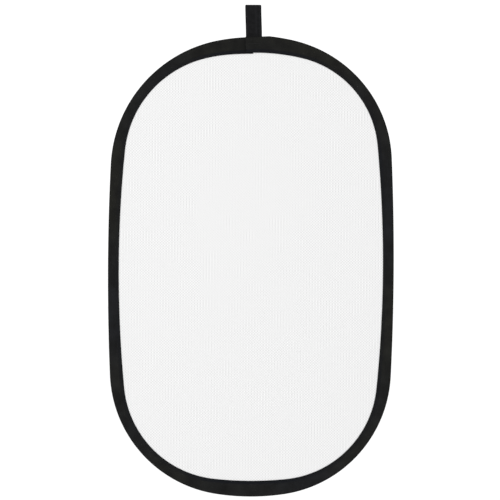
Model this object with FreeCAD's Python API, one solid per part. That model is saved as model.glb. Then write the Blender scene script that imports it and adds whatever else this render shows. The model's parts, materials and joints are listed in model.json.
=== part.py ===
import FreeCAD
import Part
import math
import os

# Collapsible reflector disc: a white cloth panel stretched in a spring-steel
# hoop, with a folded black casing round the rim and a webbing loop at the top.
# Millimetres. +Z is up, -Y is the front, and the disc hangs in the XZ plane.
# The origin is where a hook bears, at the top of the eye of the hanging loop.

# Outline of the disc: each quarter is three tangent arcs (crown, shoulder, side)
disc_width = 696.0
disc_height = 1120.0
crown_offset = 10.0         # the top end's highest point lies this far to the right of the middle
side_turn = 2.6             # degrees that a quarter's side arc turns through
top_crown_turn = 10.5       # degrees that a quarter's crown arc turns through, in the top end
top_crown_ratio = 1.51      # radius of the crown arc over that of the shoulder arc, in the top end
bottom_crown_turn = 8.7
bottom_crown_ratio = 1.81

# Inner edge of the casing
casing_width_side = 25.3    # from the outer fold to the hem's edge, at the long sides
casing_width_end = 37.2     # the same at the two ends
hem_side_turn = 5.6
hem_top_crown_turn = 12.9
hem_top_crown_ratio = 2.07
hem_bottom_crown_turn = 6.0
hem_bottom_crown_ratio = 3.4

# Hoop: one strip of spring steel, standing on edge across the disc's thickness
band_width = 6.0
band_thickness = 0.9
splice_lap = 40.0           # the strip's two ends overlap by this much
splice_gap = 2.0            # between the strip's end and the step in the other end
lap_clearance = 0.1         # between the two overlapping ends

# Crimped sleeve over the overlap, and the heat-shrink tube over the sleeve
sleeve_wall = 0.4
sleeve_length = 36.0
sleeve_fit = 0.1
shrink_wall = 0.3
shrink_length = 56.0
shrink_fit = 0.05
splice_play = 0.4           # between the shrink tube and the casing's fold

# Cloth
panel_thickness = 0.5
cloth = 0.8                 # the casing's folded cloth with its turned-in edge
casing_play = 0.15          # between the casing, the webbing and the hoop, across the thickness
hem_width = 9.0             # where the casing lies flat on the panel
panel_tuck = 3.0            # the panel's edge reaches this far past the hem
edge_round = 1.4            # the casing's outer corners, as a chamfer
ridge_width = 3.6           # flat land on the casing over the hoop's edge

# Hanging loop of webbing
webbing_width = 38.0
webbing_thickness = 1.0
loop_height = 79.5          # above the rim
loop_offset = 4.8           # to the right of the disc's middle
eye_radius = 4.0            # inside the fold at the top
hinge_height = 8.0          # above the rim, where the webbing bends
hinge_gap = 2.0             # each side of the bending line
loop_closed = 12.0          # above the bending line, where the two layers lie together
leg_above_hem = 6.8         # the legs stop this far short of the hem
slot_clearance = 0.3        # round the webbing where it comes out of the casing

# Sewing thread, as flat lines of stitching
thread_width = 0.8
thread_thickness = 0.35
thread_sink = 0.1           # between a thread and the sloping cloth
row_from_edge = 1.8         # inner row of the hem, from the hem's free edge
row_from_band = 1.4         # outer row of the hem, from the hem's other side
lap_beside_loop = 0.4       # casing's lap seam, from the left edge of the webbing
lap_depth = 8.0             # the lap seam starts this far below the rim
bartack_above_end = 7.0     # from the ends of the legs
bartack_length = 30.0

# Derived positions across the casing: insets are from its outer fold, halves from the mid plane
leg_inner = band_width / 2 + casing_play
side_room = max(webbing_thickness, sleeve_fit + sleeve_wall + shrink_fit + shrink_wall)
cavity_half = leg_inner + side_room + casing_play
rim_half = cavity_half + cloth
ridge_end = edge_round + ridge_width
hem_half = panel_thickness / 2 + cloth
rim_top = webbing_thickness - loop_height
hinge_z = rim_top + hinge_height
leg_depth = casing_width_end - hem_width - leg_above_hem
disc_x = -loop_offset
disc_z = rim_top - disc_height / 2


def quarter(half_width, half_height, side, crown, ratio):
    """Crown, shoulder and side arc of an upper right quarter: (centre, radius, angles from the top)."""
    first = math.radians(crown)
    last = math.radians(90.0 - side)
    # The arcs have to add up to the half width and the half height.
    a1 = ratio * math.sin(first) + math.sin(last) - math.sin(first)
    a2 = 1.0 - math.sin(last)
    b1 = ratio * (1.0 - math.cos(first)) + math.cos(first) - math.cos(last)
    b2 = math.cos(last)
    shoulder = (half_width * b2 - half_height * a2) / (a1 * b2 - a2 * b1)
    long_side = (half_height - shoulder * b1) / b2
    end = ratio * shoulder
    drop = half_height - end
    knee_x = (end - shoulder) * math.sin(first)
    knee_z = drop + (end - shoulder) * math.cos(first)
    return [
        (0.0, drop, end, 0.0, first),
        (knee_x, knee_z, shoulder, first, last),
        (half_width - long_side, 0.0, long_side, last, math.pi / 2),
    ]


def mirrored(arcs, across, up, offset):
    """The arcs of another quarter: across and up are 1 or -1, and its middle is moved sideways."""
    turned = []
    for cx, cz, radius, start, end in arcs:
        angles = [math.atan2(across * math.sin(a), up * math.cos(a)) for a in (start, end)]
        if across * up < 0:
            angles.reverse()
        turned.append((offset + across * cx, up * cz, radius, *angles))
    return turned


class Outline:
    """A closed oval of twelve tangent arcs, which can be inset or let out without changing its centres."""

    def __init__(self, width, height, side, top, bottom):
        """Each end is (degrees of the crown, crown radius over shoulder radius)."""
        left, right = width / 2 + crown_offset, width / 2 - crown_offset
        half = height / 2
        upper_right = mirrored(quarter(right, half, side, *top), 1, 1, crown_offset)
        lower_right = mirrored(quarter(width / 2, half, side, *bottom), 1, -1, 0.0)
        lower_left = mirrored(quarter(width / 2, half, side, *bottom), -1, -1, 0.0)
        upper_left = mirrored(quarter(left, half, side, *top), -1, 1, crown_offset)
        self.arcs = upper_right + lower_right[::-1] + lower_left + upper_left[::-1]

    def edges(self, inset, y):
        """The arcs at a height y, each point moved inwards by inset."""
        made = []
        for cx, cz, radius, start, end in self.arcs:
            points = []
            for angle in (start, (start + end) / 2, end):
                x = disc_x + cx + (radius - inset) * math.sin(angle)
                z = disc_z + cz + (radius - inset) * math.cos(angle)
                points.append(FreeCAD.Vector(x, y, z))
            made.append(Part.Arc(*points).toShape())
        return made

    def wire(self, inset, y):
        return Part.Wire(self.edges(inset, y))


rim = Outline(
    disc_width,
    disc_height,
    side_turn,
    (top_crown_turn, top_crown_ratio),
    (bottom_crown_turn, bottom_crown_ratio),
)
hem = Outline(
    disc_width - 2 * casing_width_side,
    disc_height - 2 * casing_width_end,
    hem_side_turn,
    (hem_top_crown_turn, hem_top_crown_ratio),
    (hem_bottom_crown_turn, hem_bottom_crown_ratio),
)
crown_x = disc_x + crown_offset
crown_radius = min(rim.arcs[0][2], rim.arcs[-1][2])
side_radius = min(rim.arcs[8][2], rim.arcs[9][2])  # the left long side, below and above its middle


def rise(run, radius):
    """How far an arc has fallen away at this distance from its top."""
    return radius - math.sqrt(radius * radius - run * run)


# The straight splice needs this much more room inside the gently bowed casing.
splice_bow = rise(shrink_length / 2, side_radius)
splice_wrap = sleeve_fit + sleeve_wall + shrink_fit + shrink_wall
band_inset = cloth + splice_play + splice_bow + splice_wrap


def box(x0, x1, y0, y1, z0, z1):
    corner = FreeCAD.Vector(x0, y0, z0)
    return Part.makeBox(x1 - x0, y1 - y0, z1 - z0, corner)


def plate(outline, inset, y0, y1):
    """A flat solid with the outline's shape."""
    face = Part.Face(outline.wire(inset, y0))
    return face.extrude(FreeCAD.Vector(0, y1 - y0, 0))


def ring(outline, outer, inner, y0, y1):
    """A flat band between two insets of one outline."""
    return plate(outline, outer, y0, y1).cut(plate(outline, inner, y0, y1))


def side_profile(points, x0, x1):
    """A straight solid along X with this outline in Y and Z."""
    corners = [FreeCAD.Vector(x0, y, z) for y, z in points]
    face = Part.Face(Part.makePolygon(corners + corners[:1]))
    return face.extrude(FreeCAD.Vector(x1 - x0, 0, 0))


def closed_solid(faces):
    shell = Part.makeShell(faces)
    shell.sewShape()
    solid = Part.makeSolid(Part.Shell(shell.Faces))
    if solid.Volume < 0:
        solid.reverse()
    return solid


def annulus(first, second):
    """The flat face between two loops at the same height."""
    wires = sorted((Part.Wire(first), Part.Wire(second)), key=lambda w: w.BoundBox.DiagonalLength)
    return Part.makeFace([wires[1], wires[0]], "Part::FaceMakerBullseye")


def casing_section():
    """The casing's cut section, all round it: (outline, inset, height) of each corner."""
    slope_end = -hem_width
    front = [
        (rim, 0.0, rim_half - edge_round),
        (rim, edge_round, rim_half),
        (rim, ridge_end, rim_half),
        (hem, slope_end, hem_half),
        (hem, 0.0, hem_half),
        (hem, 0.0, panel_thickness / 2),
        (hem, slope_end, panel_thickness / 2),
        (rim, ridge_end, cavity_half),
        (rim, cloth, cavity_half),
    ]
    back = [(outline, inset, -y) for outline, inset, y in reversed(front)]
    return front + back


def make_rim_casing():
    """Cloth folded round the hoop, open along its inner edge where the panel goes in."""
    loops = [(y, outline.edges(inset, y)) for outline, inset, y in casing_section()]
    faces = []
    for (y, edges), (next_y, next_edges) in zip(loops, loops[1:] + loops[:1]):
        if y == next_y:
            faces.append(annulus(edges, next_edges))
        else:
            # 1 keeps the two arcs running the same way.
            faces += [Part.makeRuledSurface(a, b, 1) for a, b in zip(edges, next_edges)]
    solid = closed_solid(faces)
    half_slot = webbing_width / 2 + slot_clearance
    depth = cloth + casing_play + rise(half_slot + abs(crown_x), crown_radius)
    slot = box(-half_slot, half_slot, -cavity_half, cavity_half, rim_top - depth, rim_top + cloth)
    return solid.cut(slot)


def make_panel():
    half = panel_thickness / 2
    return plate(hem, -hem_width - panel_tuck, -half, half)


def near_splice(solid, low, high):
    """The part of a ring on the disc's left side between two heights from the disc's middle."""
    x0 = disc_x - disc_width
    return solid.common(box(x0, disc_x, -band_width, band_width, disc_z + low, disc_z + high))


def make_hoop_band():
    """One strip whose ends overlap; one end steps inwards and runs on behind the other."""
    half = band_width / 2
    outer_layer = ring(rim, band_inset, band_inset + band_thickness, -half, half)
    tongue_inset = band_inset + band_thickness + lap_clearance
    inner_layer = ring(rim, tongue_inset, tongue_inset + band_thickness, -half, half)
    both_layers = ring(rim, band_inset, tongue_inset + band_thickness, -half, half)
    low = -splice_lap / 2 - splice_gap
    strip = outer_layer.cut(near_splice(both_layers, low, low + splice_gap))
    step = near_splice(both_layers, low - splice_gap, low)
    tongue = near_splice(inner_layer, low - splice_gap, splice_lap / 2)
    return strip.fuse([step, tongue]).removeSplitter()


def splice_block(grow, length):
    """A block round the two overlapping ends of the strip, standing off them by grow."""
    thick = 2 * band_thickness + lap_clearance + splice_bow
    x0 = disc_x - disc_width / 2 + band_inset
    half = band_width / 2 + grow
    low = disc_z - length / 2
    return box(x0 - grow, x0 + thick + grow, -half, half, low, low + length)


def make_splice_sleeve():
    outside = splice_block(sleeve_fit + sleeve_wall, sleeve_length)
    return outside.cut(splice_block(sleeve_fit, sleeve_length))


def make_splice_shrink_tube():
    """Snug on the sleeve, and necked down at its two ends onto the bare strip."""
    over_sleeve = sleeve_length + 2 * shrink_fit
    outside = splice_block(splice_wrap, over_sleeve + 2 * shrink_wall)
    outside = outside.fuse(splice_block(sleeve_fit + shrink_wall, shrink_length))
    inside = splice_block(splice_wrap - shrink_wall, over_sleeve)
    inside = inside.fuse(splice_block(sleeve_fit, shrink_length))
    return outside.cut(inside).removeSplitter()


def make_hanging_loop():
    """Webbing doubled over: two layers together at the bottom, opening to an eye under the top fold."""
    t = webbing_thickness
    low = hinge_z + hinge_gap
    split = hinge_z + loop_closed
    outer = loop_side(eye_radius + t, t, low, split)
    inner = loop_side(eye_radius, 0.0, split, split)
    return outer.cut(inner)


def loop_side(radius, half_at_split, low, split):
    """The loop's side outline at one face of the webbing, straight up to the round top."""
    centre_z = -eye_radius
    x0 = -webbing_width / 2
    left_top = FreeCAD.Vector(x0, -radius, centre_z)
    right_top = FreeCAD.Vector(x0, radius, centre_z)
    crown = FreeCAD.Vector(x0, 0, centre_z + radius)
    right_split = FreeCAD.Vector(x0, half_at_split, split)
    left_split = FreeCAD.Vector(x0, -half_at_split, split)
    edges = [Part.Arc(left_top, crown, right_top).toShape()]
    path = [right_top, right_split]
    if low < split:
        path += [FreeCAD.Vector(x0, half_at_split, low), FreeCAD.Vector(x0, -half_at_split, low)]
        path += [left_split]
    path += [left_top]
    edges += [Part.LineSegment(a, b).toShape() for a, b in zip(path, path[1:])]
    face = Part.Face(Part.Wire(edges))
    return face.extrude(FreeCAD.Vector(webbing_width, 0, 0))


def make_loop_legs():
    """The webbing's two ends: together above the rim, then one each side of the hoop inside the casing."""
    t = webbing_thickness
    top = hinge_z - hinge_gap
    shoulder = rim_top - cloth
    straight_end = rim_top - ridge_end
    bottom = rim_top - leg_depth
    # Inside, a leg keeps casing_play from the casing's slope.
    slope = (cavity_half - panel_thickness / 2) / (casing_width_end - hem_width - ridge_end)
    outer = leg_inner + t
    end_outer = cavity_half - slope * (leg_depth - ridge_end) - casing_play
    path = [
        (0.0, top),
        (t, top),
        (outer, shoulder),
        (outer, straight_end),
        (end_outer, bottom),
        (end_outer - t, bottom),
        (leg_inner, straight_end),
        (leg_inner, shoulder),
        (0.0, top - t),
    ]
    whole = path + [(-y, z) for y, z in reversed(path[1:-1])]
    return side_profile(whole, -webbing_width / 2, webbing_width / 2)


def hem_row(inset, side):
    """A line of stitching round the hem, on its front (side -1) or its back (side 1)."""
    faces = sorted((side * hem_half, side * (hem_half + thread_thickness)))
    return ring(hem, inset, inset + thread_width, *faces)


def slope_height(depth):
    """Height of the casing's outside from the mid plane, at a depth below the rim's top."""
    run = casing_width_end - hem_width - ridge_end
    return rim_half - (rim_half - hem_half) * (depth - ridge_end) / run


def slope_thread(x0, x1, start, stop, side):
    """A flat line of thread on the slope of the casing at the top of the disc."""
    fall = rise(max(abs(x0 - crown_x), abs(x1 - crown_x)), crown_radius)
    points = []
    for depth, lift in ((start, 0.0), (stop, 0.0), (stop, 1.0), (start, 1.0)):
        height = slope_height(depth) + thread_sink + lift * thread_thickness
        points.append((side * height, rim_top - fall - depth))
    return side_profile(points, x0, x1)


def make_lap_thread(side):
    """The short seam that closes the casing's lap beside the loop."""
    x1 = -webbing_width / 2 - lap_beside_loop
    stop = casing_width_end - hem_width - thread_width
    return slope_thread(x1 - thread_width, x1, lap_depth, stop, side)


def make_bartack_thread(side):
    """The bar of stitching that holds the legs of the loop in the casing."""
    half = bartack_length / 2
    depth = leg_depth - bartack_above_end
    return slope_thread(-half, half, depth, depth + 2 * thread_width, side)


def make_parts():
    inner_row = -row_from_edge - thread_width
    outer_row = -hem_width + row_from_band
    return {
        "hanging_loop": make_hanging_loop(),
        "loop_legs": make_loop_legs(),
        "loop_bartack_thread_front": make_bartack_thread(-1),
        "loop_bartack_thread_back": make_bartack_thread(1),
        "rim_casing": make_rim_casing(),
        "panel": make_panel(),
        "hoop_band": make_hoop_band(),
        "splice_sleeve": make_splice_sleeve(),
        "splice_shrink_tube": make_splice_shrink_tube(),
        "hem_thread_front_inner_row": hem_row(inner_row, -1),
        "hem_thread_front_outer_row": hem_row(outer_row, -1),
        "hem_thread_back_inner_row": hem_row(inner_row, 1),
        "hem_thread_back_outer_row": hem_row(outer_row, 1),
        "lap_thread_front": make_lap_thread(-1),
        "lap_thread_back": make_lap_thread(1),
    }


os.makedirs("parts", exist_ok=True)
for name, shape in make_parts().items():
    if not shape.isValid():
        raise ValueError(f"{name} is not a valid solid")
    shape.exportStep(f"parts/{name}.step")
    size = shape.BoundBox
    print(
        f"{name:28s} {len(shape.Solids)} solid  {shape.Volume:12.1f} mm3"
        f"  {size.XLength:8.2f} x {size.YLength:6.2f} x {size.ZLength:8.2f} mm"
    )
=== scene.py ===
import json
import math

import bpy
import numpy as np
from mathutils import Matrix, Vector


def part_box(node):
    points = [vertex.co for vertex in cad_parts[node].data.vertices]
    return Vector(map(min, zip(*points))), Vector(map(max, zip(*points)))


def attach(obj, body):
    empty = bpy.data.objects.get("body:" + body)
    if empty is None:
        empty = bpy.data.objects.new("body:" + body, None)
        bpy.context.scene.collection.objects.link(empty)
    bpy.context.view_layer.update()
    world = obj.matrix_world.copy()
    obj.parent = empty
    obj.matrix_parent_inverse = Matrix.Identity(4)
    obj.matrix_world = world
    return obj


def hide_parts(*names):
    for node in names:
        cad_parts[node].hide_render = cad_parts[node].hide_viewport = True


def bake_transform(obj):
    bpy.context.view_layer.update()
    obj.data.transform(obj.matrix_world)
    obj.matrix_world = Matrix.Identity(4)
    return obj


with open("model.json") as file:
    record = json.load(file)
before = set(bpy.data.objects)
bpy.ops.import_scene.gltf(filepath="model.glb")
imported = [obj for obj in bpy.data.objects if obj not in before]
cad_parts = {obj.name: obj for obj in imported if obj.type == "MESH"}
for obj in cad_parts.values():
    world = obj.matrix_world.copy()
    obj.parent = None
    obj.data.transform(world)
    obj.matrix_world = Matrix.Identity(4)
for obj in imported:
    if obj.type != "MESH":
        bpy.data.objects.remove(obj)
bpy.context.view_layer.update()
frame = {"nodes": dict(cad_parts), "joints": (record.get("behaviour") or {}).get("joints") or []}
mm = 0.001
turn = 2 * math.pi
print("frame loaded:", len(frame["nodes"]), "nodes")

# places and sizes read from the frame, in metres
casingLow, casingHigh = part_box("rim_casing")
hoopLow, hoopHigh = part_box("hoop_band")
loopLow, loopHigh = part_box("hanging_loop")
legsLow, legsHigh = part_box("loop_legs")
discX = (casingLow[0] + casingHigh[0]) / 2
discZ = (hoopLow[2] + hoopHigh[2]) / 2  # from the hoop, because the casing is slit at its top
halfWidth = (casingHigh[0] - casingLow[0]) / 2
halfHeight = discZ - casingLow[2]
rimHalf = casingHigh[1]  # half the rim's thickness
rimTop = discZ + halfHeight
hingeZ = frame["joints"][0]["pos_m"][2]

# The two ovals: each quarter is a crown arc, a shoulder arc and a side arc that run into each other. Given
# for each are the degrees that the side arc turns through, and for each end those of the crown, and its
# radius over the shoulder's.
crownOffset = 10.0 * mm  # the top end's highest point lies this far to the right of the middle
rimShape = {"sideTurn": 2.6, "top": (10.5, 1.51), "bottom": (8.7, 1.81)}
hemShape = {"sideTurn": 5.6, "top": (12.9, 2.07), "bottom": (6.0, 3.4)}
casing = {
    "widthAtSide": 25.3 * mm,  # outer fold to the free edge of the hem, at the long sides
    "widthAtEnd": 37.2 * mm,  # the same at the top and bottom
    "hemWidth": 9.0 * mm,
    "hemHalf": 1.05 * mm,  # half the thickness of the hem, panel included
    "hemCrown": 0.16 * mm,  # the hem is a little fuller between its edges
    "seams": (0.24, 0.8),  # places of the two rows of stitching, as shares of the hem's width
    "seamDip": 0.26 * mm,
    "seamReach": 0.08,
    "slopeCrown": 0.25 * mm,
    "ridge": 5.0 * mm,  # the cloth starts to slope down this far in from the fold
    "corner": 2.2 * mm,  # radius where the cloth turns over the hoop's edge
    "full": 0.7 * mm,  # the cloth stands this far off the hoop's outer edge
    "spread": 0.4 * mm,  # and its hem is pressed this much wider than it was folded
    "cloth": 0.72 * mm,
    "lapEdge": -20.5 * mm,  # the strip's upper end, folded under, from the loop's middle
    "lapLength": 18.5 * mm,
    "lapRise": 0.85 * mm,  # the upper end stands off by the cloth under it
    "lapFade": 15.0 * mm,
    "foldDepth": 8.0 * mm,  # how much cloth is turned under at the upper end
    "foldRise": 0.45 * mm,
    "swell": 3.2 * mm,  # the upper end stands out past the fold's line, most of all at its far side
    "swellAt": 58.0 * mm,  # from the folded end
    "swellFade": 75.0 * mm,
    "droop": 2.5 * mm,  # the under end hangs a little below the upper end's hem
    "droopFade": 110.0 * mm,
    "dent": 0.7 * mm,  # the under end is pulled in where the upper end is sewn over it
    "dentLength": 9.0 * mm,
    "gather": 0.32 * mm,  # height of the gathers that the seam pulls into the slope
    "gatherWaves": [(9.7 * mm, 0.25), (14.3 * mm, 0.35), (23.9 * mm, 0.3), (41.3 * mm, 0.25)],
    "gatherLeast": 0.35,  # share of that height on the straight
    "gatherRadius": 0.32,  # metres, the radius of the rim at which the gathers have their whole height
    "spacing": 3.9 * mm,  # between stations along the rim
    "lapSpacing": 1.6 * mm,  # and close to the lap, over the stretch below
    "lapStretch": 80.0 * mm,
    "darkFold": (2.2 * mm, 0.8),  # width and depth of painted shade: the outer fold is packed tight, and painted shade darkens it
    "darkEdge": (1.6 * mm, 0.7),  # and painted shade along the hem's turned edge
    "darkCrease": (18.0 * mm, 0.62),  # and painted shade on the under end beside the upper end's fold
    "pressed": (0.25, 0.8),  # share of the hem's darker colour, at the long sides and at the ends: partly its denser pressed cloth and partly painted shade
}


# One quarter of an oval: the radii are solved so that its three arcs add up to the half width a and half
# height b. Each row is an arc's centre, its radius and the angles from the top where it starts and ends.
def quarterArcs(a, b, sideTurn, crownTurn, crownRatio):
    first = math.radians(crownTurn)
    last = math.radians(90 - sideTurn)
    a1 = crownRatio * math.sin(first) + math.sin(last) - math.sin(first)
    a2 = 1 - math.sin(last)
    b1 = crownRatio * (1 - math.cos(first)) + math.cos(first) - math.cos(last)
    b2 = math.cos(last)
    shoulder = (a * b2 - b * a2) / (a1 * b2 - a2 * b1)
    side = (b - shoulder * b1) / b2
    crown = crownRatio * shoulder
    x = (crown - shoulder) * math.sin(first)
    z = b - crown + (crown - shoulder) * math.cos(first)
    return np.array([
        (0, b - crown, crown, 0, first),
        (x, z, shoulder, first, last),
        (a - side, 0, side, last, math.pi / 2),
    ])


# The whole oval, clockwise from its highest point: each quarter is the upper right one with its centres
# mirrored, and its angles counted back from half a turn or a whole one where the mirror turns it round.
def ovalArcs(shape, a, b):
    quarters = []
    for half, end, across, up, offset, base in (
        (a - crownOffset, "top", 1, 1, crownOffset, 0),
        (a, "bottom", 1, -1, 0, math.pi),
        (a, "bottom", -1, -1, 0, math.pi),
        (a + crownOffset, "top", -1, 1, crownOffset, turn),
    ):
        rows = quarterArcs(half, b, shape["sideTurn"], *shape[end])
        rows[:, 0] = offset + across * rows[:, 0]
        rows[:, 1] *= up
        if across * up < 0:
            rows[:, 3:] = base - rows[:, 4:2:-1]
            rows = rows[::-1]
        else:
            rows[:, 3:] += base
        quarters.append(rows)
    return np.concatenate(quarters)


# Distance along the oval at which each arc ends: radius times angle, added up.
def arcEnds(arcs):
    return np.cumsum(arcs[:, 2] * (arcs[:, 4] - arcs[:, 3]))


# Points on an oval at distances s clockwise from its top: the arc that holds s is looked up, and the point
# is the arc's centre plus its radius times (sin, cos) of the angle reached. Gives points, outward normals
# and radii.
def alongOval(arcs, s):
    ends = arcEnds(arcs)
    s = np.mod(s, ends[-1])
    i = np.minimum(np.searchsorted(ends, s, side="right"), len(arcs) - 1)
    angle = arcs[i, 4] - (ends[i] - s) / arcs[i, 2]
    normal = np.stack([np.sin(angle), np.cos(angle)], axis=-1)
    return arcs[i, :2] + arcs[i, 2:3] * normal, normal, arcs[i, 2]


rimArcs = ovalArcs(rimShape, halfWidth, halfHeight)
hemArcs = ovalArcs(hemShape, halfWidth - casing["widthAtSide"], halfHeight - casing["widthAtEnd"])
rimLength = arcEnds(rimArcs)[-1]


# The casing's width at distance s along the rim: points of the hem oval are measured from each rim arc's
# centre, the arc whose angles hold the point gives its foot and its inset, and the insets are read off
# between the feet.
def casingWidth(s):
    count, slack = 6000, 1e-9
    point, _, _ = alongOval(hemArcs, np.linspace(0, arcEnds(hemArcs)[-1], count, endpoint=False))
    away = point[:, None, :] - rimArcs[None, :, :2]
    angle = np.mod(np.arctan2(away[..., 0], away[..., 1]), turn)
    inset = rimArcs[:, 2] - np.hypot(away[..., 0], away[..., 1])
    held = (angle >= rimArcs[:, 3] - slack) & (angle <= rimArcs[:, 4] + slack)
    i = np.argmin(np.where(held, inset, np.inf), axis=1)
    row = np.arange(count)
    foot = arcEnds(rimArcs)[i] - (rimArcs[i, 4] - angle[row, i]) * rimArcs[i, 2]
    order = np.argsort(foot)
    return np.interp(np.mod(s, rimLength), foot[order], inset[row, i][order], period=rimLength)


# From 0 at low to 1 at high, level at both: three times the square of the share less twice its cube.
def smooth(x, low, high):
    t = np.clip((x - low) / (high - low), 0, 1)
    return t * t * (3 - 2 * t)


# A sum of sines with seeded phases: waves is a list of (wavelength, height), and s a distance in metres.
def ripple(s, waves, seed):
    phase = np.random.default_rng(seed).uniform(0, turn, len(waves))
    total = np.zeros_like(s)
    for (length, height), start in zip(waves, phase):
        total += height * np.sin(turn * s / length + start)
    return total


# A grid of points and its faces become an object. The uv map, if there is one, is in metres along and
# across the cloth.
def makeMesh(name, points, faces, material, uv=None):
    mesh = bpy.data.meshes.new(name)
    mesh.from_pydata(points.reshape(-1, 3).tolist(), [], faces)
    if uv is not None:
        layer = mesh.uv_layers.new(name="clothUv")
        corner = np.empty(len(mesh.loops), np.int32)
        mesh.loops.foreach_get("vertex_index", corner)
        layer.data.foreach_set("uv", uv.reshape(-1, 2)[corner].astype(np.float32).ravel())
    mesh.materials.append(material)
    mesh.polygons.foreach_set("use_smooth", np.ones(len(mesh.polygons), bool))
    mesh.update()
    piece = bpy.data.objects.new(name, mesh)
    bpy.context.scene.collection.objects.link(piece)
    return piece


# Quads round a grid whose points are numbered row by row: from row i to i + 1 and column j to j + 1, with
# the last column joined to the first.
def gridFaces(rows, columns):
    i = np.arange(rows - 1)[:, None] * columns
    j = np.arange(columns)[None, :]
    a, b = i + j, i + (j + 1) % columns
    return np.stack([a, b, b + columns, a + columns], axis=-1).reshape(-1, 4).tolist()


# Point on the disc: in from the rim's fold by inset along the normal, and out from the mid plane by y.
def onDisc(point, normal, inset, y):
    flat = point - inset[..., None] * normal
    return np.stack([discX + flat[..., 0], y, discZ + flat[..., 1]], axis=-1)


# Each sRGB part of a hex colour to linear: a straight line near black, and a power of 2.4 above it.
def fromHex(text):
    values = [int(text[i : i + 2], 16) / 255 for i in (1, 3, 5)]
    return [v / 12.92 if v <= 0.04045 else ((v + 0.055) / 1.055) ** 2.4 for v in values] + [1.0]


# Adds one node. A key is the name of a setting, or else the name or number of an input, which takes a value
# or a link from an output. Where a whole node is given, the link is from its first output.
def addNode(tree, kind, values):
    node = tree.nodes.new("ShaderNode" + kind)
    for key, value in values.items():
        if isinstance(key, str) and hasattr(node, key):
            setattr(node, key, value)
        elif isinstance(value, bpy.types.Node):
            tree.links.new(value.outputs[0], node.inputs[key])
        elif isinstance(value, bpy.types.NodeSocket):
            tree.links.new(value, node.inputs[key])
        else:
            node.inputs[key].default_value = value
    return node


# A material with one shader, whose even values are set straight on its sockets.
def newMaterial(name, surface):
    material = bpy.data.materials.new(name)
    material.use_nodes = True
    tree = material.node_tree
    tree.nodes.clear()
    shader = addNode(tree, "BsdfPrincipled", surface)
    addNode(tree, "OutputMaterial", {"Surface": shader})
    return material, tree, shader


firstColor, secondColor, mixedColor = 6, 7, 2  # a colour Mix node's inputs and its output


# Every finish ends alike. Colours are laid over the dark one in turn, each by its share, and the last goes
# to the shader. The height goes to the shader's normal, through a bump of the finish's strength and depth.
def finishSurface(tree, shader, look, layers, height):
    color = fromHex(look["dark"])
    for share, over in layers:
        color = addNode(tree, "Mix", {"data_type": "RGBA", 0: share, firstColor: color,
                                      secondColor: over}).outputs[mixedColor]
    strength, depth = look["bump"]
    raised = addNode(tree, "Bump", {"Strength": strength, "Distance": depth, "Height": height})
    tree.links.new(color, shader.inputs["Base Color"])
    tree.links.new(raised.outputs[0], shader.inputs["Normal"])


# The sine of a distance times a turn over the pitch.
def wave(tree, distance, pitch):
    angle = addNode(tree, "Math", {"operation": "MULTIPLY", 0: distance, 1: turn / pitch})
    return addNode(tree, "Math", {"operation": "SINE", 0: angle})


whiteCloth = {
    "light": "#EDEDED",
    "dark": "#D8D8D8",
    "pitchAcross": 7.0 * mm,  # thread spacing is about 0.5 mm, drawn this coarse so that the weave shows
    "pitchUp": 6.7 * mm,
    "slub": 42 * mm,  # the yarn's thick and thin stretches
    "evenness": 1.6,  # how much of the cloth shows the whole check, and not the warp alone
    "patch": 55 * mm,  # the check comes and goes over patches of this size
    "patchRange": (0.38, 0.62),  # noise values of the faintest patches and of the strongest
    "checkDepth": (0.35, 1.05),
    "thread": 1.2 * mm,  # a finer weave over the coarse one, which shows close up
    "threadDepth": 0.3,
    "bump": (0.25, 0.15 * mm),
    "surface": {"Roughness": 0.82, "IOR": 1.5, "Specular IOR Level": 0.18, "Sheen Weight": 0.06},
}


# Plain-woven white polyester: matt and even, with a faint check where warp and weft cross. A second noise
# fades both in patches.
def wovenPolyester(look):
    material, tree, shader = newMaterial("whiteWovenPolyester", look["surface"])
    place = addNode(tree, "TexCoord", {}).outputs["Object"]
    axes = addNode(tree, "SeparateXYZ", {0: place}).outputs
    warp = wave(tree, axes["X"], look["pitchAcross"])
    weft = wave(tree, axes["Z"], look["pitchUp"])
    check = addNode(tree, "Math", {"operation": "MULTIPLY", 0: warp, 1: weft})
    slub = addNode(tree, "TexNoise", {"Vector": place, "Scale": 1 / look["slub"], "Detail": 2.0})
    even = addNode(tree, "Math", {"operation": "MULTIPLY", 0: slub, 1: look["evenness"]})
    even = addNode(tree, "Math", {"operation": "SMOOTH_MIN", 0: even, 1: 1.0, 2: 0.2})
    uneven = addNode(tree, "Math", {"operation": "SUBTRACT", 0: 1.0, 1: even})
    crossed = addNode(tree, "Math", {"operation": "MULTIPLY", 0: check, 1: even})
    plain = addNode(tree, "Math", {"operation": "MULTIPLY", 0: warp, 1: uneven})
    weave = addNode(tree, "Math", {"operation": "ADD", 0: crossed, 1: plain})
    patch = addNode(tree, "TexNoise", {"Vector": place, "Scale": 1 / look["patch"], "Detail": 1.0})
    (first, last), (low, high) = look["patchRange"], look["checkDepth"]
    depth = addNode(tree, "MapRange", {"Value": patch, "From Min": first, "From Max": last,
                                       "To Min": low, "To Max": high})
    threads = wave(tree, axes["X"], look["thread"]), wave(tree, axes["Z"], look["thread"])
    fine = addNode(tree, "Math", {"operation": "MULTIPLY", 0: threads[0], 1: threads[1]})
    tone = addNode(tree, "Math", {"operation": "MULTIPLY_ADD", 0: weave, 1: depth, 2: 0.5})
    tone = addNode(tree, "Math", {"operation": "MULTIPLY_ADD", 0: fine, 1: look["threadDepth"], 2: tone})
    height = addNode(tree, "Math", {"operation": "ADD", 0: weave, 1: fine})
    finishSurface(tree, shader, look, [(tone, fromHex(look["light"]))], height)
    return material


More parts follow.
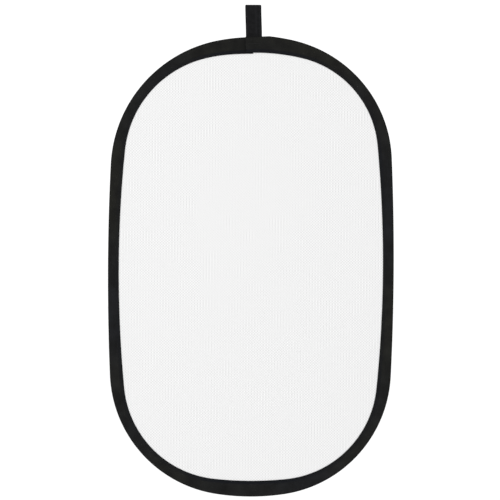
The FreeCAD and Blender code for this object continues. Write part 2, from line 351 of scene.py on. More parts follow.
blackTwill = {
    "warm": "#20201C",
    "cool": "#1C1D20",
    "dark": "#101010",
    "hem": "#0D0F15",  # pressed flat and denser where it is sewn down, and darker still by painted shade
    # the colour of the painted shade along folds, edges and the crease beside the lap
    "shade": "#050505",
    "twillPitch": 2.0 * mm,  # a real twill line is 0.7 mm wide, drawn coarser so that it shows close up
    "twillDepth": 0.4,
    "twillDrift": 3.0 * mm,  # the lines wander by this much
    "grain": 1.4 * mm,  # fuzz of the yarn
    "grainDepth": (3.0, -1.0),  # times the noise, and added to it
    "grainBump": 0.8,
    "cloud": 36 * mm,  # patches where the cloth took the dye a little differently
    "cloudDepth": 2.4,
    "tint": 384.6 * mm,  # and longer stretches that are warmer or cooler
    "tintRange": (0.4, 0.6),  # noise values where it is all warm and all cool
    "hemWidth": 9.6 * mm,
    "hemFade": 1.6 * mm,  # the hem's tone ends over this width
    "bump": (0.45, 0.12 * mm),
    "surface": {"Roughness": 0.74, "IOR": 1.5, "Specular IOR Level": 0.08, "Sheen Weight": 0.03,
                "Sheen Roughness": 0.5},
}


# Black polyester twill: fine diagonal lines, a dull sheen along the fold and a flatter, denser hem. The
# lines are a wave along the sum of both cloth directions, over grain and cloud noises. Three attributes of
# the casing's points darken it: fromEdge, the distance from the hem's free edge, a second one for how much
# of the hem's colour shows there, which is partly its denser cloth and partly painted shade, and shade,
# painted shade along the outer fold, the hem's turned edge and the under end beside the upper end's fold.
def twillCloth(look):
    material, tree, shader = newMaterial("blackPolyesterTwill", look["surface"])
    place = addNode(tree, "UVMap", {"uv_map": "clothUv"}).outputs[0]
    axes = addNode(tree, "SeparateXYZ", {0: place}).outputs
    grain = addNode(tree, "TexNoise", {"Vector": place, "Scale": 1 / look["grain"], "Detail": 3.0})
    cloud = addNode(tree, "TexNoise", {"Vector": place, "Scale": 1 / look["cloud"], "Detail": 2.0})
    wide = addNode(tree, "TexNoise", {"Vector": place, "Scale": 1 / look["tint"], "Detail": 1.0})
    slant = addNode(tree, "Math", {"operation": "ADD", 0: axes["X"], 1: axes["Y"]})
    bent = addNode(tree, "Math", {"operation": "MULTIPLY_ADD", 0: cloud, 1: look["twillDrift"], 2: slant})
    line = wave(tree, bent, look["twillPitch"])
    strong, lift = look["grainDepth"]
    tone = addNode(tree, "Math", {"operation": "MULTIPLY_ADD", 0: grain, 1: strong, 2: lift})
    tone = addNode(tree, "Math", {"operation": "MULTIPLY_ADD", 0: line, 1: look["twillDepth"], 2: tone})
    cloudy = addNode(tree, "Math", {"operation": "SUBTRACT", 0: cloud, 1: 0.5})
    tone = addNode(tree, "Math", {"operation": "MULTIPLY_ADD", 0: cloudy, 1: look["cloudDepth"], 2: tone})
    first, last = look["tintRange"]
    tint = addNode(tree, "MapRange", {"Value": wide, "From Min": first, "From Max": last})
    light = addNode(tree, "Mix", {"data_type": "RGBA", 0: tint, firstColor: fromHex(look["warm"]),
                                  secondColor: fromHex(look["cool"])}).outputs[mixedColor]
    fromEdge, pressed, shade = (addNode(tree, "Attribute", {"attribute_name": name}).outputs["Fac"]
                                for name in ("fromEdge", "pressed", "shade"))
    # the hem's colour, partly its denser cloth and partly painted shade, fades in over the hem's last
    # stretch
    flat = addNode(tree, "MapRange", {"Value": fromEdge, "From Min": look["hemWidth"] - look["hemFade"],
                                      "From Max": look["hemWidth"], "To Min": 1.0, "To Max": 0.0})
    hem = addNode(tree, "Math", {"operation": "MULTIPLY", 0: flat, 1: pressed})
    height = addNode(tree, "Math", {"operation": "MULTIPLY_ADD", 0: grain, 1: look["grainBump"], 2: line})
    # over the cloth's tone go the hem's colour, partly painted shade, and then the painted shade of folds
    # and creases
    layers = [(tone, light), (hem, fromHex(look["hem"])), (shade, fromHex(look["shade"]))]
    finishSurface(tree, shader, look, layers, height)
    return material


webbingLook = {
    "light": "#1E1E20",
    "dark": "#0B0B0C",
    "rib": 1.9 * mm,  # picks of the weave along the webbing
    "warp": 1.25 * mm,
    "weaveDepth": 0.5,
    "worn": 13.333 * mm,  # size of the worn patches
    "wornDepth": (1.4, -0.3),
    "selvedge": (5.0 * mm, 3.0 * mm, 0.45),  # paler from here to here, in from the sides, and by how much
    "stripe": (6.0 * mm, 3.0 * mm, 0.5 * mm, 0.4),  # a paler band: its middle, reach and core, and how much
    "creased": (23.0 * mm, 33.0 * mm, 0.3),  # painted shade near its ends, which go into the casing, and how dark
    "cut": (1.2 * mm, 0.4 * mm),  # painted shade at the sides, which turn away
    "halfWidth": 19.0 * mm,
    "bump": (0.7, 0.3 * mm),
    "surface": {"Roughness": 0.66, "IOR": 1.5, "Specular IOR Level": 0.08, "Sheen Weight": 0.03,
                "Sheen Roughness": 0.45},
}


# Black polypropylene webbing: heavy warp ends floating over the picks, with a slight shine on the floats.
# The weave is a wave across times a wave along. The tone adds wear, paler selvedges and a stripe, and is
# cut down by painted shade at the sides, where they turn away, and near the ends, where they go into the
# casing.
def wovenWebbing(look):
    material, tree, shader = newMaterial("blackWovenWebbing", look["surface"])
    place = addNode(tree, "UVMap", {"uv_map": "clothUv"}).outputs[0]
    axes = addNode(tree, "SeparateXYZ", {0: place}).outputs
    across, fromEnd = axes["X"], axes["Y"]
    floats, picks = wave(tree, across, look["warp"]), wave(tree, fromEnd, look["rib"])
    weave = addNode(tree, "Math", {"operation": "MULTIPLY", 0: floats, 1: picks})
    worn = addNode(tree, "TexNoise", {"Vector": place, "Scale": 1 / look["worn"], "Detail": 3.0})
    strong, lift = look["wornDepth"]
    tone = addNode(tree, "Math", {"operation": "MULTIPLY_ADD", 0: worn, 1: strong, 2: lift})
    tone = addNode(tree, "Math", {"operation": "MULTIPLY_ADD", 0: weave, 1: look["weaveDepth"], 2: tone})
    side = addNode(tree, "Math", {"operation": "ABSOLUTE", 0: across})
    far, near, paler = look["selvedge"]
    selvedge = addNode(tree, "MapRange", {"Value": side, "From Min": look["halfWidth"] - far,
                                          "From Max": look["halfWidth"] - near, "To Max": paler})
    middle, reach, core, paler = look["stripe"]
    offset = addNode(tree, "Math", {"operation": "SUBTRACT", 0: across, 1: middle})
    offset = addNode(tree, "Math", {"operation": "ABSOLUTE", 0: offset})
    stripe = addNode(tree, "MapRange", {"Value": offset, "From Min": reach, "From Max": core,
                                        "To Max": paler})
    bands = addNode(tree, "Math", {"operation": "ADD", 0: selvedge, 1: stripe})
    tone = addNode(tree, "Math", {"operation": "ADD", 0: tone, 1: bands})
    # painted shade near the ends, where the webbing goes into the casing
    low, high, darkest = look["creased"]
    endShading = addNode(tree, "MapRange", {"Value": fromEnd, "From Min": low, "From Max": high,
                                        "To Min": darkest, "To Max": 1.0})
    # painted shade at the sides, where they turn away
    low, high = look["cut"]
    cut = addNode(tree, "MapRange", {"Value": side, "From Min": look["halfWidth"] - low,
                                     "From Max": look["halfWidth"] - high, "To Min": 1.0, "To Max": 0.0})
    for share in (endShading, cut):
        tone = addNode(tree, "Math", {"operation": "MULTIPLY", 0: tone, 1: share})
    finishSurface(tree, shader, look, [(tone, fromHex(look["light"]))], weave)
    return material


threadLook = {
    "light": "#222222",
    "dark": "#0E0E0E",
    "ply": 0.5 * mm,
    "bump": (0.3, 0.05 * mm),
    "surface": {"Roughness": 0.55, "IOR": 1.5, "Specular IOR Level": 0.12, "Sheen Weight": 0.03},
}


# Spun polyester sewing thread: two plies twisted together, which catch the light as slanting beads, a wave
# along the sum of both directions of the disc.
def twistedThread(look):
    material, tree, shader = newMaterial("blackSewingThread", look["surface"])
    place = addNode(tree, "TexCoord", {}).outputs["Object"]
    axes = addNode(tree, "SeparateXYZ", {0: place}).outputs
    slant = addNode(tree, "Math", {"operation": "ADD", 0: axes["X"], 1: axes["Z"]})
    ply = wave(tree, slant, look["ply"])
    ply = addNode(tree, "Math", {"operation": "MULTIPLY_ADD", 0: ply, 1: 0.5, 2: 0.5})
    finishSurface(tree, shader, look, [(ply, fromHex(look["light"]))], ply)
    return material


# for each of the three: grain across the stock, streaks to a metre along it, and how deep they are
streaks = {"perMetre": 12.0, "bump": (0.12, 0.03 * mm)}
springSteel = {"name": "blueTemperedSpringSteel", "light": "#8B8F98", "dark": "#5A606C", "grain": 0.4 * mm,
               "surface": {"Metallic": 1.0, "Roughness": 0.36}, **streaks}
crimpSteel = {"name": "rolledMildSteel", "light": "#B5B6B8", "dark": "#8E8F92", "grain": 0.8 * mm,
              "surface": {"Metallic": 1.0, "Roughness": 0.42}, **streaks}
shrinkTube = {"name": "polyolefinShrinkTube", "light": "#202020", "dark": "#161616", "grain": 2.0 * mm,
              "surface": {"Roughness": 0.5, "IOR": 1.5, "Specular IOR Level": 0.4}, **streaks}


# Rolled or drawn stock: streaks along its length, from the rolls or the die, over an even colour. They are
# a noise that is a grain wide across the stock and long along it.
def streakedStock(look):
    material, tree, shader = newMaterial(look["name"], look["surface"])
    place = addNode(tree, "TexCoord", {}).outputs["Object"]
    size = (1.0, 1 / look["grain"], look["perMetre"])
    stretched = addNode(tree, "Mapping", {"Vector": place, "Scale": size})
    streak = addNode(tree, "TexNoise", {"Vector": stretched, "Scale": 1.0, "Detail": 4.0})
    finishSurface(tree, shader, look, [(streak, fromHex(look["light"]))], streak)
    return material


polyester = wovenPolyester(whiteCloth)
twill = twillCloth(blackTwill)
webbing = wovenWebbing(webbingLook)
thread = twistedThread(threadLook)
stocks = {"hoop_band": springSteel, "splice_sleeve": crimpSteel, "splice_shrink_tube": shrinkTube}
for node, stock in stocks.items():
    part = frame["nodes"][node]
    part.data.materials.clear()
    part.data.materials.append(streakedStock(stock))
print("materials made:", len(bpy.data.materials))


# Height of the casing's slope at share g of the way from the hem to the ridge: straight between the two,
# plus a crown.
def slopeHeight(g):
    return casing["hemHalf"] * (1 - g) + rimHalf * g + casing["slopeCrown"] * np.sin(g * math.pi)


# Half of the casing's cut section, from the free edge to the middle of the fold, as insets and heights for
# casing widths w: a flat hem that dips at its two rows of stitching, the slope, a land over the hoop, a
# round corner and the flat of the fold. The third result is the share of the slope climbed.
def halfSection(w):
    w = w[:, None]
    hem, ridge, corner = casing["hemWidth"], casing["ridge"], casing["corner"]
    f = np.array([0.0, 0.1, 0.24, 0.38, 0.52, 0.66, 0.8, 0.92])[None, :]
    dip = sum(np.exp(-(((f - seam) / casing["seamReach"]) ** 2)) for seam in casing["seams"])
    hemHeight = casing["hemHalf"] + casing["hemCrown"] * np.sin(f * math.pi) - casing["seamDip"] * dip
    g = np.linspace(0, 1, 9)[None, :]
    slopeInset = (w - hem) * (1 - g) + ridge * g
    a = np.linspace(0, math.pi / 2, 6)[None, :]
    foldInset = corner * (1 - np.sin(a))
    foldHeight = rimHalf - corner * (1 - np.cos(a))
    flat = (rimHalf - corner) * np.array([0.5, 0.0])[None, :]
    ones = np.ones_like(w)
    inset = np.concatenate([w - f * hem, slopeInset, foldInset * ones, 0 * flat * ones], axis=1)
    height = np.concatenate([hemHeight, slopeHeight(g), foldHeight, flat], axis=1) * ones
    climbed = np.concatenate([0 * f, g, np.ones((1, a.size + flat.size))], axis=1) * ones
    return inset, height, climbed


# Thickness added along the strip, x from the folded end, by the cloth that is turned under there.
def turnedUnder(x):
    depth, fade = casing["foldDepth"], 2 * mm
    return casing["foldRise"] * (1 - smooth(x, depth - fade, depth + fade))


# How far the casing's outside stands off its plain section along the strip: up by the layer below over the
# lap, more where the end is turned under, and smoothly down again past the lap.
def lapOffset(x):
    lap = casing["lapRise"] * (1 - smooth(x, casing["lapLength"], casing["lapLength"] + casing["lapFade"]))
    return lap + turnedUnder(x)


# Distance along the rim of the strip's folded end, read off from where it stands across the disc.
def stripStart():
    near = np.linspace(-60 * mm, 60 * mm, 2401)
    x = alongOval(rimArcs, near)[0][:, 0] + discX
    return float(np.interp(casing["lapEdge"], x, near))


# Distances of the stations from the folded end: round its nose by the cosine, close together over the lap,
# and then wider apart to the end of the strip.
def stripStations(length, nose):
    a = np.linspace(0, math.pi / 2, 6)[:-1]
    near = casing["lapStretch"]
    count = int((length - near) / casing["spacing"])
    return np.concatenate([nose * (1 - np.cos(a)), np.arange(nose, near, casing["lapSpacing"]),
                           np.linspace(near, length, count)])


# The section of every station, from the front hem round the fold to the back hem, as insets u and heights
# y. The fold swells out by a parabola up to its fullest place and dies away after it, and the hem sags
# under the upper end. The gathers are ripples on the slope, their height rising from the hem and falling to
# nothing at the ridge.
def sewnSection(x, s, radius, before):
    inset, height, climbed = halfSection(casingWidth(s))
    swell = np.where(x < casing["swellAt"], (x / casing["swellAt"]) ** 2,
                     np.exp(-(x - casing["swellAt"]) / casing["swellFade"]))
    out = casing["swell"] * swell + casing["full"]
    droop = 1 - smooth(before + casing["lapLength"], 0, casing["droopFade"])
    sag = casing["droop"] * droop + casing["spread"]
    place = inset / inset[:, :1]  # 1 at the free edge, 0 at the fold
    inset = inset - out[:, None] * (1 - place) + sag[:, None] * smooth(place, 0.5, 1)
    pulled = np.exp(-((before / casing["dentLength"]) ** 2))[:, None]
    height = height - casing["dent"] * pulled * np.sin(math.pi * np.clip(place, 0, 1))
    bend = np.clip(casing["gatherRadius"] / radius, 0, 1)[:, None]
    ease = casing["gatherLeast"] + (1 - casing["gatherLeast"]) * bend
    fullness = (climbed > 0) * (1 - climbed) ** 1.2 * np.sqrt(climbed + 0.08)
    gathers = (ripple(s, casing["gatherWaves"], seed)[:, None] for seed in (11, 12))
    front, back = (height + gather * casing["gather"] * ease * fullness for gather in gathers)
    u = np.concatenate([inset, inset[:, -2::-1]], axis=1)
    y = np.concatenate([-front, back[:, -2::-1]], axis=1)
    return u, y, out


# The casing is one strip carried along the rim from its folded end, right round and under that end. Each
# station's section runs front hem, fold, back hem on the outside and back again on the inside, one cloth's
# thickness in. The folded end is rounded off by a quarter of a circle. The flat area is the strip's width
# added up along it.
def makeCasing():
    length = rimLength + casing["lapLength"]
    nose = (casing["cloth"] + casing["foldRise"]) / 2
    x = stripStations(length, nose)
    s = stripStart() + x
    before = rimLength - x  # from the upper end's fold, on the strip's second pass under it
    point, normal, radius = alongOval(rimArcs, s)
    u, y, out = sewnSection(x, s, radius, before)
    du, dy = np.gradient(u, axis=1), np.gradient(y, axis=1)
    size = np.hypot(du, dy)
    outU, outY = -dy / size, du / size
    middle = lapOffset(x)[:, None] - nose
    tip = 0.06  # the nose's blunt end, as a share of its radius
    rounded = np.maximum(np.sqrt(1 - (1 - np.minimum(x / nose, 1)) ** 2), tip)[:, None]
    outer = middle + nose * rounded
    thick = (casing["cloth"] + turnedUnder(x))[:, None]
    inner = np.where(x[:, None] < nose, middle - nose * rounded, lapOffset(x)[:, None] - thick)
    skip = 3

    # the outside's columns, and then every third one of the inside's, running back
    def withInside(outside, inside):
        return np.concatenate([outside, inside[:, ::skip][:, ::-1]], axis=1)

    ringU = withInside(u + outU * outer, u + outU * inner)
    ringY = withInside(y + outY * outer, y + outY * inner)
    points = onDisc(point[:, None, :], normal[:, None, :], ringU, ringY)
    rows, columns = ringU.shape

    across = np.cumsum(np.hypot(np.diff(u, axis=1), np.diff(y, axis=1)), axis=1)
    across = np.concatenate([np.zeros((rows, 1)), across], axis=1)
    edge = np.minimum(across, across[:, -1:] - across)
    # painted shade: on the under end beside the upper end's fold, along the outer fold and along the hem's
    # turned edge
    shade = casing["darkCrease"][1] * np.exp(-np.abs(before) / casing["darkCrease"][0]) * (before > -2 * mm)
    shade = np.broadcast_to(shade[:, None], u.shape)
    for distance, (width, depth) in ((u + out[:, None], casing["darkFold"]), (edge, casing["darkEdge"])):
        shade = np.maximum(shade, depth * (1 - smooth(distance, 0.3 * width, width)))
    # the hem's darker colour, partly its denser cloth and partly painted shade, shows more at the ends than
    # at the long sides
    low, high = casing["pressed"]
    curved = smooth(casingWidth(s), casing["widthAtSide"], casing["widthAtEnd"])[:, None]
    pressed = np.broadcast_to(low + (high - low) * curved, ringU.shape)

    faces = gridFaces(rows, columns)
    j = np.arange((u.shape[1] - 1) // skip)[:, None]
    cap = np.concatenate([skip * j + np.arange(skip + 1), columns - 2 - j, columns - 1 - j], axis=1)
    faces += cap[:, ::-1].tolist() + (cap + (rows - 1) * columns).tolist()
    uv = np.stack([np.broadcast_to(s[:, None], ringU.shape), withInside(across, across)], axis=-1)
    piece = makeMesh("casingCloth", points, faces, twill, uv)
    attributes = {"fromEdge": withInside(edge, edge), "shade": withInside(shade, shade), "pressed": pressed}
    for name, values in attributes.items():
        attribute = piece.data.attributes.new(name, "FLOAT", "POINT")
        attribute.data.foreach_set("value", values.astype(np.float32).ravel())
    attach(piece, "disc")
    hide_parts("rim_casing")
    return piece


panel = {
    "thickness": 0.34 * mm,
    "tuck": 11.4 * mm,  # from the free edge of the hem to the panel's cut edge, inside the casing
    "around": 620,
    "rings": ((0.02, 0.8, 22), (0.815, 1.0, 30)),  # shares of the way out, from, to and how many
    "edgeRipple": 0.42 * mm,  # the pull of the seam shows as low ripples beside the hem
    "rippleWaves": [(17 * mm, 0.3), (31 * mm, 0.4), (53 * mm, 0.3), (97 * mm, 0.3)],
    "rippleStart": 12 * mm,
    "rippleReach": 37.5 * mm,
    "billow": 0.7 * mm,  # the middle isn't quite flat
    "billowAcross": (0.19, 0.7),  # metres for a radian, and the radians where it starts
    "billowUp": (0.31, 0.4),
    "billowStart": 150 * mm,
}


# The panel is a grid in polar order: the hem oval let out by the tuck, drawn in towards the middle by a
# share r. Its height is ripples that fade inwards from the hem, plus a slow billow, a sine across times a
# sine up, and nothing under the hem.
def makePanel():
    length = arcEnds(hemArcs)[-1]
    s = np.linspace(0, length, panel["around"], endpoint=False)
    point, normal, _ = alongOval(hemArcs, s)
    edge = point + panel["tuck"] * normal
    r = np.concatenate([np.linspace(*ring) for ring in panel["rings"]])
    flat = edge[None] * r[:, None, None]
    inward = np.hypot(*np.moveaxis(edge[None] - flat, -1, 0)) - panel["tuck"]
    fade = smooth(inward, 0, panel["rippleStart"]) * np.exp(-np.maximum(inward, 0) / panel["rippleReach"])
    pull = ripple(s * rimLength / length, panel["rippleWaves"], 5)[None, :]
    billow = smooth(inward, 0, panel["billowStart"])
    for axis, (span, start) in enumerate((panel["billowAcross"], panel["billowUp"])):
        billow = billow * np.sin(flat[..., axis] / span + start)
    y = panel["edgeRipple"] * fade * pull + panel["billow"] * billow
    points = np.stack([discX + flat[..., 0], y, discZ + flat[..., 1]], axis=-1)
    middle = np.array([[discX, float(y[0].mean()), discZ]])
    rows, columns = y.shape
    i = np.arange(columns)
    hub = np.full(columns, rows * columns)
    faces = gridFaces(rows, columns) + np.stack([hub, (i + 1) % columns, i], axis=1).tolist()
    piece = makeMesh("panelCloth", np.concatenate([points.reshape(-1, 3), middle]), faces, polyester)
    solid = piece.modifiers.new("thickness", "SOLIDIFY")
    solid.thickness = panel["thickness"]
    solid.offset = 0
    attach(piece, "disc")
    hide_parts("panel")
    return piece


stitch = {
    "pitch": 3.3 * mm,
    "length": 2.7 * mm,
    "width": 0.55 * mm,
    "height": 0.32 * mm,
    "bow": 0.55,  # its middle stands up by this share of its height
    "taper": 0.75,  # and its ends are narrower by this share
    "sink": 0.1 * mm,
    "innerRow": 2.2 * mm,  # from the hem's free edge
    "outerRow": 7.2 * mm,
    "rowDepth": 0.06 * mm,  # the rows pull the hem down
    "lapStitches": 8,
    "lapMargin": 1.5 * mm,
    "bartackPitch": 1.0 * mm,
    "bartackDrop": 0.2 * mm,
}
barStitch = dict(stitch, length=2.0 * mm, width=0.7 * mm)


# A stitch is a bowed bead: rings of six points along t from -1 to 1, each ring's middle raised by 1 - t
# squared and its radius narrowed by t to the fourth. Copies stand at centres, with axes along the row,
# across it and outwards.
def makeStitches(name, node, centres, along, outward, size):
    rings, corners = 6, 6
    count = rings * corners
    t = np.linspace(-1, 1, rings)
    a = np.linspace(0, turn, corners, endpoint=False)
    narrow = 1 - size["taper"] * t**4
    x = np.repeat(t[:, None] * size["length"] / 2, corners, axis=1)
    y = narrow[:, None] * np.cos(a)[None, :] * size["width"] / 2
    z = narrow[:, None] * np.sin(a)[None, :] * size["height"] / 2
    z = z + size["height"] * size["bow"] * (1 - t**2)[:, None] - size["sink"]
    across = np.cross(outward, along)
    axes = np.stack([along, across, outward], axis=1)
    bead = np.stack([x, y, z], axis=-1).reshape(-1, 3)
    points = centres[:, None, :] + np.einsum("kc,ncd->nkd", bead, axes)
    sides = np.array(gridFaces(rings, corners))
    ends = np.array([range(corners), range(count - 1, count - corners - 1, -1)])[:, ::-1]
    first = count * np.arange(len(centres))[:, None, None]
    faces = (sides + first).reshape(-1, 4).tolist() + (ends + first).reshape(-1, corners).tolist()
    piece = makeMesh(name, points, faces, thread)
    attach(piece, "disc")
    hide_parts(node)
    return piece


# A hem row follows the rim at a set distance from the hem's free edge, its stitches a pitch apart along the
# row and each one along the line between the row's points half a millimetre behind and ahead.
def makeHemRow(name, node, fromEdge, side):
    s = np.linspace(0, rimLength, 4000)
    point, normal, _ = alongOval(rimArcs, s)
    level = np.full(s.shape, side * (casing["hemHalf"] - stitch["rowDepth"]))
    path = onDisc(point, normal, casingWidth(s) - fromEdge, level)
    run = np.concatenate([[0], np.cumsum(np.linalg.norm(np.diff(path, axis=0), axis=1))])
    count = int(run[-1] / stitch["pitch"])
    at = (np.arange(count) + 0.5) * run[-1] / count
    here, ahead, back = (np.stack([np.interp(at + step, run, path[:, k]) for k in range(3)], axis=1)
                         for step in (0, 0.5 * mm, -0.5 * mm))
    along = (ahead - back) / np.linalg.norm(ahead - back, axis=1)[:, None]
    station = np.interp(at, run, s)
    here[:, 1] += side * lapOffset(np.mod(station - stripStart(), rimLength))
    outward = np.zeros_like(here)
    outward[:, 1] = side
    return makeStitches(name, node, here, along, outward, stitch)


# Points on the casing's outside near its top, from distances s along the rim and insets from the fold, with
# the directions down and out of the slope, whose tilt is its rise over its run.
def onSlope(s, inset, side):
    point, normal, _ = alongOval(rimArcs, s)
    w = casingWidth(s)
    run = w - casing["hemWidth"] - casing["ridge"]
    g = np.clip((w - casing["hemWidth"] - inset) / run, 0, 1)
    height = slopeHeight(g) + lapOffset(np.mod(s - stripStart(), rimLength))
    place = onDisc(point, normal, inset, side * height)
    tilt = (rimHalf - casing["hemHalf"]) / run
    outward = np.stack([normal[:, 0] * tilt, np.full(s.shape, float(side)), normal[:, 1] * tilt], axis=1)
    inward = np.stack([-normal[:, 0], -side * tilt, -normal[:, 1]], axis=1)
    inward, outward = (way / np.linalg.norm(way, axis=1)[:, None] for way in (inward, outward))
    return place, inward, outward


# The lap seam runs straight down the rim beside the folded end.
def makeLapSeam(side, word):
    low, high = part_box("lap_thread_front")
    s = np.full(stitch["lapStitches"], stripStart() + (low[0] + high[0]) / 2 - casing["lapEdge"])
    top, bottom = rimTop - high[2] + stitch["lapMargin"], rimTop - low[2] - stitch["lapMargin"]
    place, inward, outward = onSlope(s, np.linspace(top, bottom, stitch["lapStitches"]), side)
    return makeStitches(f"lapSeam.{word}", f"lap_thread_{word}", place, inward, outward, stitch)


# The bartack is a bar of close upright stitches across the loop's root.
def makeBartack(side, word):
    low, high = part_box("loop_bartack_thread_front")
    x = np.arange(low[0] + stitch["bartackPitch"] / 2, high[0], stitch["bartackPitch"])
    inset = np.full(x.shape, rimTop - (low[2] + high[2]) / 2) - stitch["bartackDrop"]
    place, inward, outward = onSlope(stripStart() + x - casing["lapEdge"], inset, side)
    return makeStitches(f"bartack.{word}", f"loop_bartack_thread_{word}", place, inward, outward, barStitch)


loop = {
    "thickness": 1.0 * mm,
    "closedGap": 0.15 * mm,  # between the two layers where they lie together
    "eyeStart": 9.0 * mm,  # the layers start to part this far above the bending line
    "parting": 1.0 * mm,  # they come together from this far below the rim's top to this far below the line
    "legTaper": 8.0 * mm,
    "lean": -2.0 * mm,  # the top leans to the left by this much
    "topNarrow": 3.2 * mm,  # the corners of the top fold are rounded off: this wide, and this high
    "topReach": 3.8 * mm,
    "spread": 0.6 * mm,  # pulling has flattened the webbing and made it this much wider on each side
    "sideInset": 0.5 * mm,  # centres of the round sides
    "ribPitch": 1.9 * mm,
    "ribDepth": 0.07 * mm,
    "ribWidth": 2.6 * mm,  # warp ends that rise together
    "selvedge": 1.6 * mm,
    "selvedgeStep": 0.6 * mm,
    "selvedgeDepth": 0.18 * mm,
    "stations": 620,
    "columns": 44,
}


# Half the distance between the two layers' middles at height z: wide round the hoop, closed above the rim,
# and opening smoothly to the eye.
def layerGap(z):
    together = (loop["thickness"] + loop["closedGap"]) / 2
    leg = legsHigh[1] - loop["thickness"] / 2
    eye = loopHigh[1] - loop["thickness"] / 2
    top = loopHigh[2] - loopHigh[1]
    opened = smooth(z, hingeZ + loop["eyeStart"], top)
    straddle = 1 - smooth(z, rimTop - loop["parting"], hingeZ - loop["parting"])
    inside = smooth(z, legsLow[2] - loop["legTaper"], rimTop - casing["ridge"]) * straddle
    return together + (eye - together) * opened + (leg - together) * inside


# The line that the webbing follows seen from the side, as depths and heights: up the front leg, round half
# a circle and down the back leg, read off at even distances along it. Gives those distances, the line and
# its outward side.
def webbingLine():
    radius = loopHigh[1] - loop["thickness"] / 2
    top = loopHigh[2] - loopHigh[1]
    z = np.linspace(legsLow[2], top, 900)
    up = np.stack([-layerGap(z), z], axis=1)
    a = np.linspace(math.pi, 0, 120)[1:-1]
    over = np.stack([radius * np.cos(a), top + radius * np.sin(a)], axis=1)
    path = np.concatenate([up, over, up[::-1] * [-1, 1]])
    run = np.concatenate([[0], np.cumsum(np.hypot(*np.diff(path, axis=0).T))])
    at = np.linspace(0, run[-1], loop["stations"])
    line = np.stack([np.interp(at, run, path[:, k]) for k in range(2)], axis=1)
    ahead = np.gradient(line, axis=0)
    ahead /= np.linalg.norm(ahead, axis=1)[:, None]
    return at, line, np.stack([-ahead[:, 1], ahead[:, 0]], axis=1)


# The webbing's cut section at each of the distances at, as places across x and heights h off the line: a
# face with ribs that rise and fall along it by a cosine, each column half a rib out of step with the next,
# a thicker smooth selvedge at both sides, and round sides.
def webbingSection(at, half):
    flat = half - loop["sideInset"]
    across = np.linspace(-flat, flat, loop["columns"])
    a = np.linspace(0, math.pi, 7)[1:-1]
    column = np.floor(across / loop["ribWidth"])
    ribs = np.cos(turn * (at[:, None] / loop["ribPitch"] + column[None, :] / 2))
    inner = half - loop["selvedge"]
    selvedge = loop["selvedgeDepth"] * smooth(np.abs(across), inner - loop["selvedgeStep"], inner)
    ribs = loop["ribDepth"] * ribs * (selvedge == 0)[None, :]
    face = loop["thickness"] / 2 - loop["ribDepth"] + ribs + selvedge
    side = loop["thickness"] / 2 + loop["selvedgeDepth"] - loop["ribDepth"]
    x = np.concatenate([across, flat + side * np.sin(a), across[::-1], -flat - side * np.sin(a)])
    turned = np.broadcast_to(side * np.cos(a), (len(at), a.size))
    return x, np.concatenate([face, turned, -face[:, ::-1], -turned], axis=1)


# The webbing is its section carried along its line, leaned to one side by a smooth step and narrowed round
# the top fold by a quarter of an ellipse.
def makeLoop():
    at, line, outward = webbingLine()
    half = (loopHigh[0] - loopLow[0]) / 2 + loop["spread"]
    x, h = webbingSection(at, half)
    lean = loop["lean"] * smooth(line[:, 1], rimTop, loopHigh[2])
    high = np.clip((line[:, 1] - loopHigh[2]) / loop["topReach"] + 1, 0, 1)
    narrow = 1 - loop["topNarrow"] / half * (1 - np.sqrt(1 - high**2))
    points = np.stack([x[None, :] * narrow[:, None] + lean[:, None], line[:, :1] + outward[:, :1] * h,
                       line[:, 1:] + outward[:, 1:] * h], axis=-1)
    rows, columns = h.shape
    fromEnd = np.minimum(at, at[-1] - at)
    uv = np.stack(np.broadcast_arrays(x[None, :], fromEnd[:, None]), axis=-1)
    faces = gridFaces(rows, columns)
    faces += [list(range(columns))[::-1], list(range((rows - 1) * columns, rows * columns))]
    piece = makeMesh("loopWebbing", points, faces, webbing, uv)
    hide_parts("hanging_loop", "loop_legs")
    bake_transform(piece)
    print(f"loop: webbing {2 * half / mm:.0f} mm wide and {at[-1] / mm:.0f} mm long")
    return piece


# Faces have to point outwards: a closed mesh whose signed volume is negative is turned inside out. The
# volume is a sixth of the sum over triangles of one corner times the cross product of the other two.
def faceOutwards(piece):
    mesh = piece.data
    mesh.calc_loop_triangles()
    corners = np.empty(len(mesh.loop_triangles) * 3, np.int32)
    mesh.loop_triangles.foreach_get("vertices", corners)
    points = np.empty(len(mesh.vertices) * 3)
    mesh.vertices.foreach_get("co", points)
    a, b, c = np.moveaxis(points.reshape(-1, 3)[corners.reshape(-1, 3)], 1, 0)
    if np.sum(a * np.cross(b, c)) < 0:
        mesh.flip_normals()


made = [makeCasing(), makePanel(), makeLoop()]
for side, word in ((-1, "front"), (1, "back")):
    for row in ("inner", "outer"):
        name, node = f"hemStitches.{word}.{row}", f"hem_thread_{word}_{row}_row"
        made.append(makeHemRow(name, node, stitch[row + "Row"], side))
    made += [makeLapSeam(side, word), makeBartack(side, word)]
for piece in made:
    faceOutwards(piece)
print("pieces made:", len(made))


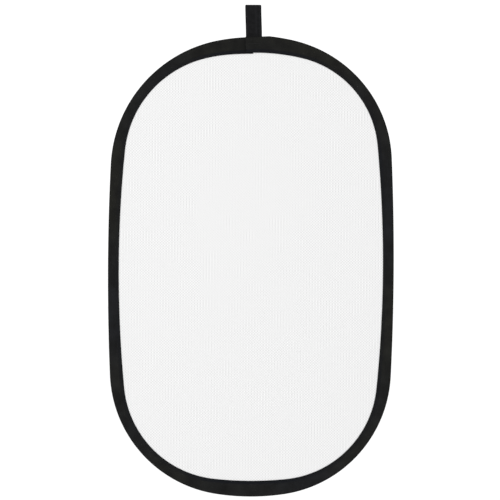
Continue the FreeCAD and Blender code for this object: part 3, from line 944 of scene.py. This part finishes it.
studio = {
    "floorDrop": 0.35,  # metres from the disc's lowest point to the floor, as it hangs
    "floorHalf": 40.0,  # half the floor's side, in metres
    "floorColor": "#FAFAFA",
    "floorSurface": {"Roughness": 0.9, "Specular IOR Level": 0.1},
    "worldColor": "#FFFFFF",
    "worldStrength": 1.12,
    "keyPower": 9.0,  # watts
    "keySize": 1.6,  # metres
    "keyPlace": (-2.1, -1.9, 0.3),
}
shot = {
    "across": 1.22025,  # metres across the frame
    "fromDiscX": -2.3 * mm,  # the middle of the frame, from the middle of the disc
    "fromDiscZ": 40.9 * mm,
    "lens": 200.0,
    "roll": -0.279,  # degrees, because the disc hangs a little askew
    "farthest": 100.0,  # metres that the camera sees
}


# One square under the disc, a plain pale floor.
def makeFloor():
    size = studio["floorHalf"]
    z = casingLow[2] - studio["floorDrop"]
    points = np.array([[-size, -size, z], [size, -size, z], [size, size, z], [-size, size, z]])
    material, _, shader = newMaterial("paleStudioFloor", studio["floorSurface"])
    shader.inputs["Base Color"].default_value = fromHex(studio["floorColor"])
    makeMesh("floor", points, [[0, 1, 2, 3]], material)


# An even white surround, and one soft box from the front left that faces the disc's middle.
def makeLights():
    world = bpy.data.worlds.new("studioLight")
    world.use_nodes = True
    background = world.node_tree.nodes["Background"]
    background.inputs["Color"].default_value = fromHex(studio["worldColor"])
    background.inputs["Strength"].default_value = studio["worldStrength"]
    bpy.context.scene.world = world
    light = bpy.data.lights.new("softBox", "AREA")
    light.energy = studio["keyPower"]
    light.size = studio["keySize"]
    piece = bpy.data.objects.new("softBox", light)
    piece.location = studio["keyPlace"]
    x, y, z = np.array((discX, 0, discZ)) - np.array(studio["keyPlace"])
    piece.rotation_euler = (math.pi / 2 + math.atan2(z, math.hypot(x, y)), 0, math.atan2(-x, y))
    bpy.context.scene.collection.objects.link(piece)


# A long lens straight in front, as far off as it takes for the frame to be as wide as the shot.
def makeCamera():
    camera = bpy.data.objects.new("camera", bpy.data.cameras.new("camera"))
    camera.data.lens = shot["lens"]
    away = shot["across"] / camera.data.sensor_width * shot["lens"]
    camera.location = (discX + shot["fromDiscX"], -away, discZ + shot["fromDiscZ"])
    camera.rotation_euler = (math.pi / 2, math.radians(shot["roll"]), 0)
    camera.data.clip_end = shot["farthest"]
    bpy.context.scene.collection.objects.link(camera)
    bpy.context.scene.camera = camera


makeFloor()
makeLights()
makeCamera()
bpy.context.scene.view_settings.view_transform = "Standard"
print("studio ready")
